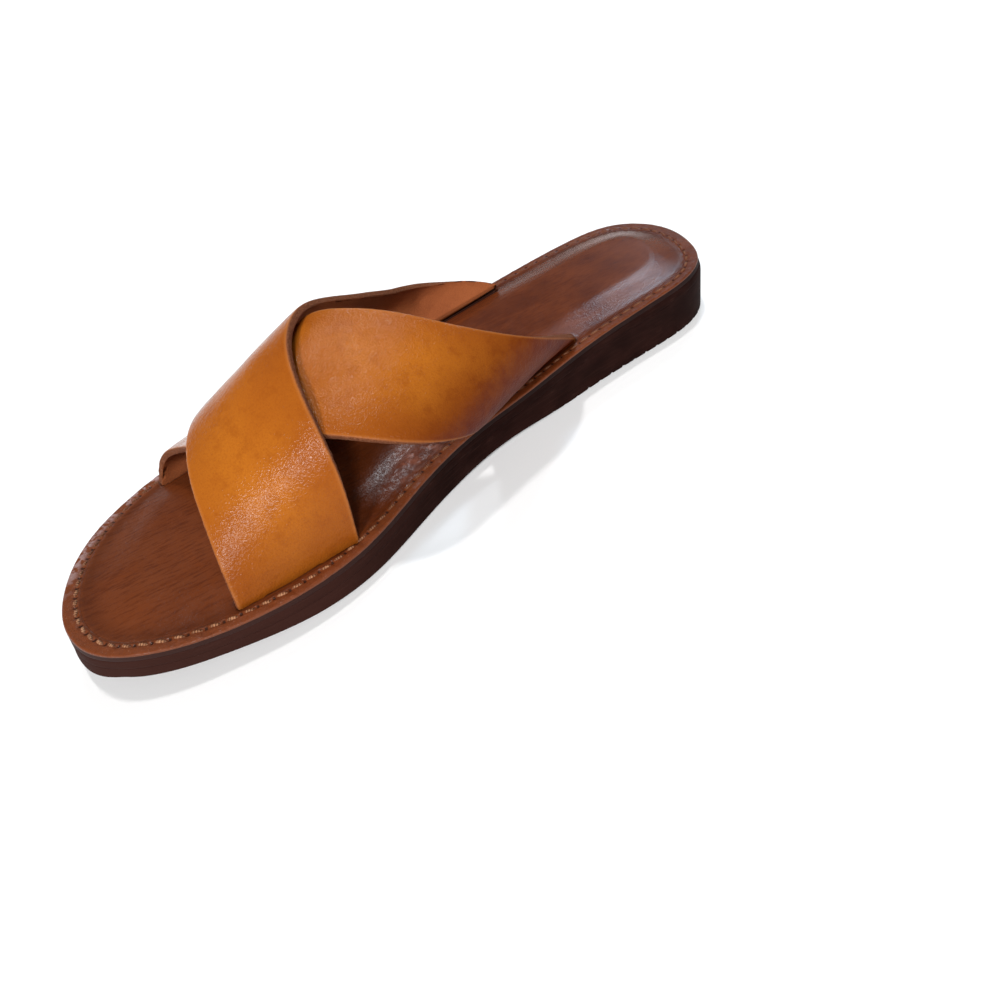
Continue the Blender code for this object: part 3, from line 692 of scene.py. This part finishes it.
def strap(name, face, seed, creases, burnish_and_shade_spans, material):
    """Closed band of leather: a rounded section carried along the grain face, its ends in the slots.

    A point of the section lies a share of the width plus an offset from the front edge, and a
    depth below the grain face along its normal; creases are (end, distance from it, depth), and the
    leather is darkened at the inner and the outer end, each by (length, how dark): partly burnish,
    partly painted shade where the strap turns down away from the light into its slot.
    """
    rows = len(face)
    run = np.r_[0.0, np.cumsum(np.linalg.norm(np.diff(face[:, FACE_COLUMNS // 2], axis=0), axis=1))]
    width = np.linalg.norm(face[:, -1] - face[:, 0], axis=1)
    t, back = np.linspace(0, 1, GRAIN_COLUMNS), np.linspace(1, 0, FLESH_COLUMNS)
    turn = np.radians(np.linspace(0, 90, 5))[1:]
    g, f = GRAIN_ROUND, FLESH_ROUND
    over = (g * np.sin(turn) - g, g * (1 - np.cos(turn)))
    under = (f * np.cos(turn) - f, STRAP_THICK - f + f * np.sin(turn))
    wall = np.array([0.33, 0.66]) * (STRAP_THICK - g - f) + g
    side = len(over[0]) + len(wall) + len(under[0])
    share = np.r_[t, np.ones(side), back, np.zeros(side)]
    offset = np.r_[g * (1 - 2 * t), over[0], 0, 0, under[0], f * (1 - 2 * back),
                   -under[0][::-1], 0, 0, -over[0][::-1]]
    depth = np.r_[0 * t, over[1], wall, under[1], 0 * back + STRAP_THICK,
                  under[1][::-1], wall[::-1], over[1][::-1]]
    cut = np.r_[0 * t, 0.2, 0.7, 1, 1, 1, 1, 1, 1, 0.8, 0.4, 0 * back,
                0.4, 0.8, 1, 1, 1, 1, 1, 1, 0.7, 0.2]
    flesh = np.r_[0 * t, np.zeros(6), 0, 0.2, 0.6, 0.9, 0 * back + 1, 0.9, 0.6, 0.2, 0, np.zeros(6)]
    ragged = 0.07 * ripples(run[:, None], 0 * run[:, None] + depth[None] * 4, 2.6, seed)
    from_front = share * width[:, None] + offset + ragged * cut * np.where(share > 0.5, 1, -1)
    place = from_front / width[:, None] * (FACE_COLUMNS - 1)
    low = np.clip(place.astype(int), 0, FACE_COLUMNS - 2)
    part = (place - low)[..., None]
    i = np.arange(rows)[:, None]
    up = normals(face)
    point = face[i, low] * (1 - part) + face[i, low + 1] * part
    out = up[i, low] * (1 - part) + up[i, low + 1] * part
    out /= np.linalg.norm(out, axis=2, keepdims=True)
    along_mm = run[:, None] + 0 * from_front
    relief = 0.18 * ripples(along_mm, from_front, 38, seed + 1)
    relief += 0.035 * ripples(along_mm, from_front, 11, seed + 2)
    wander = 0.4 * ripples(along_mm, from_front, 20, seed + 3)
    for end, place_mm, low_mm in creases:
        off = (along_mm if end == 0 else run[-1] - along_mm) - place_mm + wander
        relief -= low_mm * hump(off / 0.7)
    edge = np.minimum(from_front, width[:, None] - from_front)
    relief -= 0.25 * smooth(1 - edge / 4.0)
    fade = smooth(np.minimum(run, run[-1] - run) / 6.0)[:, None]
    grid = point + out * (relief * fade - depth)[..., None]
    sunk = []
    for row in (0, -1):
        section = point[row] - out[row] * depth[:, None]
        seat = profile(face[row, :, 1].mean(), 1) - INSOLE_THICK + ABOVE_BOARD
        levels = [section.copy() for _ in range(SUNK_LEVELS)]
        for step, level in enumerate(levels):
            level[:, :2] = grid[row, :, :2]
            level[:, 2] += (seat - section[:, 2].min()) * (step + 1) / SUNK_LEVELS
        shut = levels[-1].mean(axis=0) + 0 * section
        sunk.append(levels + [shut])
    grid = np.concatenate([np.array(sunk[0][::-1]), grid, np.array(sunk[1])])
    margin = ((len(sunk[0]), len(sunk[1])), (0, 0))
    # The ends' darkening, partly burnish and partly painted shade, fades over its length from each end.
    (inner_mm, inner_dark), (outer_mm, outer_dark) = burnish_and_shade_spans
    burnish_and_shade = inner_dark * smooth(1 - along_mm / inner_mm)
    burnish_and_shade = np.maximum(burnish_and_shade, outer_dark * smooth(1 - (run[-1] - along_mm) / outer_mm))
    marks = {"cut": 0 * from_front + cut, "flesh": 0 * from_front + flesh, "edge": edge, "burnish_and_shade": burnish_and_shade}
    marks = {key: np.pad(values, margin, mode="edge").T[None] for key, values in marks.items()}
    points = grid.transpose(1, 0, 2)[None]
    add_piece(name, points, material, marks, ["upper"])


tan, spot, feed = finish("strap_leather_tan", Specular_IOR_Level=0.09)
cut, flesh, edge, burnish_and_shade = (spot.mark(name) for name in ("cut", "flesh", "edge", "burnish_and_shade"))
cloud = spot.grain(30.0, 3.0, start=1.0)
mottle = spot.grain(5.0, 5.0, start=2.0, roughness=0.65)
pebble = spot.grain(1.1, 2.0, start=3.0, roughness=0.55)
fine_pebble = spot.grain(0.50, 1.0, start=4.0, roughness=0.5)
nick = spot.grain(2.2, 3.0, (1, 1, 2.5), 5.0, 0.7)
body = cloud.between(0.32, 0.70).mix((0.330, 0.087, 0.0080, 1), (0.405, 0.121, 0.0105, 1))
body = (mottle.between(0.48, 0.68) * 0.50).mix(body, (0.275, 0.067, 0.0060, 1))
body = (fine_pebble.between(0.45, 0.7) * 0.30).mix(body, (0.25, 0.055, 0.006, 1))
# Painted shade: the grain face darkens to a deeper brown towards its edges, where the strap curves away
# from the light.
body = (edge.between(17.0, 2.0) * 0.35).mix(body, (0.235, 0.052, 0.006, 1))
# Partly burnish and partly painted shade: the ends darken towards the slots, where the strap turns down
# away from the light.
body = (burnish_and_shade.between(0.08, 0.80) * (0.70 + mottle * 0.42)).mix(body, (0.062, 0.0045, 0.0006, 1))
body = (nick.between(0.70, 0.78) * 0.5).mix(body, (0.12, 0.028, 0.006, 1))
# Painted highlight: a light line along the rounded corners of the grain face, where they catch the light.
body = (edge.between(1.5, 0.2) * (1 - cut) * 0.40).mix(body, (0.46, 0.17, 0.045, 1))
hairs = spot.grain(0.5, 4.0, start=8.0, roughness=0.7)
raw = hairs.between(0.35, 0.7).mix((0.115, 0.034, 0.014, 1), (0.235, 0.088, 0.042, 1))
suede = (hairs * 0.5 + cloud * 0.5).between(0.3, 0.7)
suede = suede.mix((0.200, 0.052, 0.018, 1), (0.32, 0.092, 0.030, 1))
body = cut.mix(body, raw)
feed("Base Color", flesh.mix(body, suede))
raw_part = cut.math("MAXIMUM", cut, flesh)
smooth_rough = 0.07 + fine_pebble * 0.08 + cloud * 0.03 + burnish_and_shade * 0.4
feed("Roughness", smooth_rough * (1 - raw_part) + raw_part * 0.9)
smooth_height = pebble * 0.15 + fine_pebble * 0.12 - nick.between(0.70, 0.80) * 0.06
raise_grain(feed, smooth_height * (1 - raw_part) + hairs * raw_part * 0.30)

top_face = across_line(TOP_STRAP, FACE_ROWS, FACE_COLUMNS)
under_face = lay_under(across_line(UNDER_STRAP, LOOSE_ROWS, LOOSE_COLUMNS), top_face)
under_face = finer(under_face, FACE_ROWS, FACE_COLUMNS)
strap("strap_under", under_face, 11, UNDER_CREASES, UNDER_BURNISH_AND_SHADE, tan)
strap("strap_top", top_face, 21, TOP_CREASES, TOP_BURNISH_AND_SHADE, tan)

# --------------------------------------------------------------------------------- stitches
# Waxed two-ply thread, sewn by hand right through footbed and midsole close to the edge.  Each
# stitch lies a little aslant and dives into a punched hole at both ends.
THREAD = 0.50               # radius
SLANT = 0.30                # how far the ends of a stitch lie off the line, one on each side
HOLE_GAP = 0.09             # share of the pitch between a stitch's end and the middle of its hole
SUNK, DIVE = 0.14, 0.8      # how far its middle lies below the rim, and its ends below its middle
PLY_TURNS = 5.0             # turns of the twist along a stitch
STITCH_POINTS, ROUND_POINTS = 9, 8      # points along a stitch and round it
thread, spot, feed = finish("thread_waxed", Specular_IOR_Level=0.3)
place = spot.node("UVMap", {"uv_map": "along_round"}, {})
u = place.node("SeparateXYZ", {}, {0: place})
v = place.node("SeparateXYZ", {}, {0: place}, out=1)
twist = (u * PLY_TURNS + v) * FULL_TURN
ply = twist.math("SINE", twist)
bow = u * 3.1416
middle = bow.math("SINE", bow)
fuzz = spot.grain(0.6, 3.0, roughness=0.7)
patch = spot.grain(7.0, 3.0, start=5.0)
along = spot.node("SeparateXYZ", {}, {0: spot}, out=1)
front = along.between(-0.045, -0.085) * 0.75 + 0.25
side = spot.node("SeparateXYZ", {}, {0: spot}).between(-0.022, -0.004) * 0.85 + 0.15
# Partly random flecks of the thread's own tone and partly painted highlight: the lighter colour is
# strongest along each stitch's crest and on the inner side, where light falls, and grows towards the toe.
flecks_and_highlight = (fuzz * 0.9 + patch * 0.5 + ply * 0.10).between(0.56, 0.84) * middle * front * side
colour = flecks_and_highlight.mix((0.115, 0.034, 0.0105, 1), (0.46, 0.215, 0.105, 1))
feed("Base Color", colour)
feed("Roughness", 0.5 + fuzz * 0.2)
raise_grain(feed, ply * 0.06 + fuzz * 0.05)

t = np.linspace(0.0, 1.0, STITCH_POINTS)
place = HOLE_GAP + (1 - 2 * HOLE_GAP) * t
at = np.interp(np.arange(STITCHES)[:, None] + place, phase, np.arange(len(phase)))
low = at.astype(int)
part = (at - low)[..., None]
ring = RING[low % len(RING)] * (1 - part) + RING[(low + 1) % len(RING)] * part
inward = INWARD[low % len(RING)] * (1 - part) + INWARD[(low + 1) % len(RING)] * part
core = ring + inward * (stitch_line(ring[..., 1]) + SLANT * (2 * t - 1))[..., None]
arch = np.sin(math.pi * t)
height = profile(core[..., 1], 1) - SUNK - DIVE * (1 - arch**0.5)
direction = np.gradient(ring, axis=1)
direction /= np.linalg.norm(direction, axis=2, keepdims=True)
sideways = np.stack([direction[..., 1], -direction[..., 0]], axis=-1)
round_angle = -np.arange(ROUND_POINTS) * 2 * math.pi / ROUND_POINTS
girth = THREAD * np.r_[0, 0.75, 1, 1, 1, 1, 1, 0.75, 0]
outward = np.cos(round_angle)[None, :, None] * girth
upward = np.sin(round_angle)[None, :, None] * girth
points = np.concatenate([core[:, None] + sideways[:, None] * outward[..., None],
                         (height[:, None] + upward)[..., None]], axis=-1)
add_piece("stitches", points, thread, {})

# ----------------------------------------------------------------------------- floor, light
# A plain white floor that sweeps up into a wall far off.  Five small lamps light it: two white ones
# from the front and the inner side, a blue one from behind the outer side, a faint one from the
# outer side and one from nearly overhead.
paint, _, _ = finish("floor_paint", Roughness=0.9, Specular_IOR_Level=0.1)
paint.node_tree.nodes["Principled BSDF"].inputs["Base Color"].default_value = (0.95, 0.95, 0.95, 1)
SWEEP_FROM, SWEEP_WIDE, SWEEP_HIGH = 2.5, 3.5, 0.8      # metres
CLEAR = 0.0002              # the floor lies this far below the sole
SPOKES, RINGS = 64, 9       # points round the floor and outward
reach = np.linspace(0.0, 1.0, RINGS)
turn = np.linspace(0, 2 * math.pi, SPOKES + 1)[:-1, None]
radius = SWEEP_FROM + SWEEP_WIDE * reach
rise = SWEEP_HIGH * smooth(reach) - CLEAR
points = np.dstack([radius * np.cos(turn), radius * np.sin(turn), rise + 0 * turn])
index = np.arange(points.size // 3).reshape(SPOKES, RINGS)
turned = np.roll(index, -1, axis=0)
quads = np.stack([index[:, :-1], index[:, 1:], turned[:, 1:], turned[:, :-1]], axis=-1)
sheet = bpy.data.meshes.new("floor")
faces = quads.reshape(-1, 4).tolist() + [index[:, 0].tolist()]
sheet.from_pydata(points.reshape(-1, 3).tolist(), [], faces)
sheet.materials.append(paint)
floor = bpy.data.objects.new("floor", sheet)
bpy.context.scene.collection.objects.link(floor)
floor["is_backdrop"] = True

LIGHTS = (
    # name, azimuth from the toe towards the inner side, elevation, spread, strength, colour
    ("front_inner", 34.5, 35.0, 9.0, 2.10, (1.0, 1.0, 1.0)),
    ("inner", 58.0, 36.0, 9.0, 1.40, (1.0, 1.0, 1.0)),
    ("behind_outer", -148.0, 39.0, 10.0, 0.66, (0.62, 0.82, 1.0)),
    ("outer", -120.0, 53.0, 8.0, 0.38, (0.85, 0.93, 1.0)),
    ("overhead", -118.0, 77.5, 5.0, 0.90, (1.0, 0.99, 0.98)),
)
for name, azimuth, elevation, spread, strength, tint in LIGHTS:
    lamp = bpy.data.lights.new(name, "SUN")
    lamp.energy, lamp.angle, lamp.color = strength, math.radians(spread), tint
    holder = bpy.data.objects.new(name, lamp)
    holder.rotation_euler = (math.radians(90 - elevation), 0, math.radians(azimuth))
    bpy.context.scene.collection.objects.link(holder)
world = bpy.data.worlds.new("studio")
world.use_nodes = True
world.node_tree.nodes["Background"].inputs["Color"].default_value = (1.0, 1.0, 1.0, 1)
world.node_tree.nodes["Background"].inputs["Strength"].default_value = 0.15
bpy.context.scene.world = world
bpy.context.scene.view_settings.view_transform = "Standard"

low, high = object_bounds()
